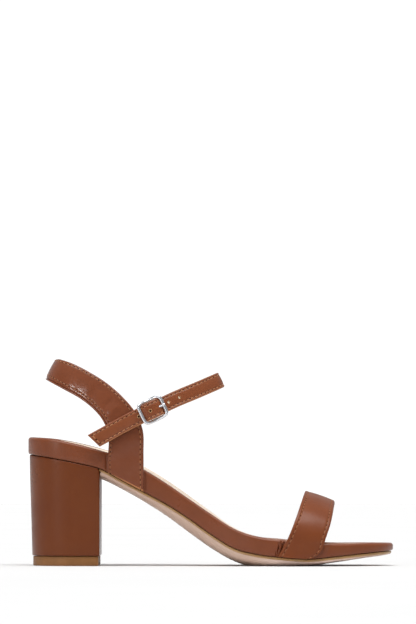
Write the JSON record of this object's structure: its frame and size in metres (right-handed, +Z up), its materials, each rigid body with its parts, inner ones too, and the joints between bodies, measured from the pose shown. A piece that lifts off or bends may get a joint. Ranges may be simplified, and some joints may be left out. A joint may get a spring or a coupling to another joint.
{
  "type": "ankle strap block heel sandal",
  "caption": "Open toe sandal with a covered block heel, wrapped footbed, toe band, and a back strap carrying a buckled ankle strap.",
  "frame": {"origin": "on the floor, halfway along the shoe and halfway across its ball", "axes": "+X from heel to toe, +Y to the inner side of the foot, +Z up"},
  "size_m": [0.2276, 0.0814, 0.129],
  "materials": {
    "outsole": "satin",
    "heel_cover": "satin",
    "top_lift": "satin",
    "footbed_cover": "satin",
    "sock_lining": "satin",
    "toe_strap": "satin",
    "strap": "satin",
    "buckle_tab": "satin",
    "buckle_metal": "polished",
    "prong_metal": "polished"
  },
  "bodies": {
    "root": {"outsole": "outsole", "heel_block": "heel_cover", "heel_top_lift": "top_lift", "footbed": "footbed_cover", "insole": "sock_lining", "toe_strap": "toe_strap", "back_and_ankle_strap": "strap", "buckle_loop": "buckle_tab", "buckle_frame": "buckle_metal", "buckle_prong": "prong_metal"}
  },
  "joints": []
}
